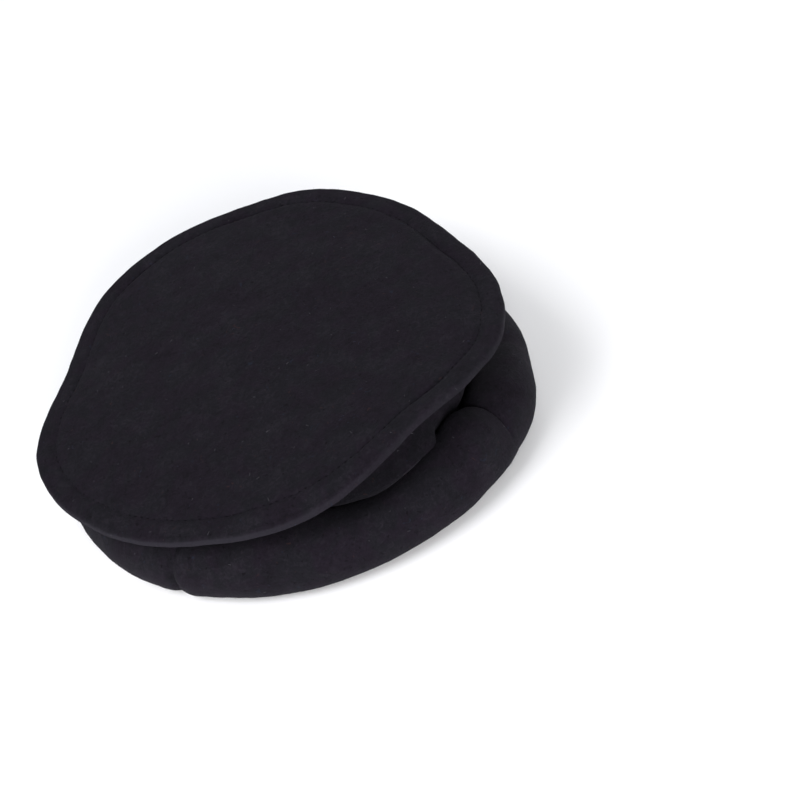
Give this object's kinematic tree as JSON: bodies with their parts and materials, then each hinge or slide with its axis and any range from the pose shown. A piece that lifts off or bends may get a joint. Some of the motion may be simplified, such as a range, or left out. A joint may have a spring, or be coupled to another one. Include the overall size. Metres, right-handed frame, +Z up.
{
  "type": "pakol",
  "caption": "Soft round flat-topped wool hat: flat crown with a stitched edge, side rolled up outside into a thick brim, thin cotton lining inside.",
  "frame": {"origin": "the middle of the hat's footprint, on the surface that the rolled brim rests on", "axes": "+Z up from the brim's foot to the crown; the picture was taken from the -Y side; the crown slopes up toward +X and +Y"},
  "size_m": [0.2749, 0.2708, 0.0812],
  "materials": {
    "black_wool": "fulled wool with a short nap",
    "blue_cotton": "thin polished cotton"
  },
  "bodies": {
    "root": {"crown_top": "black_wool", "rolled_side": "black_wool", "lining": "blue_cotton"}
  },
  "joints": []
}
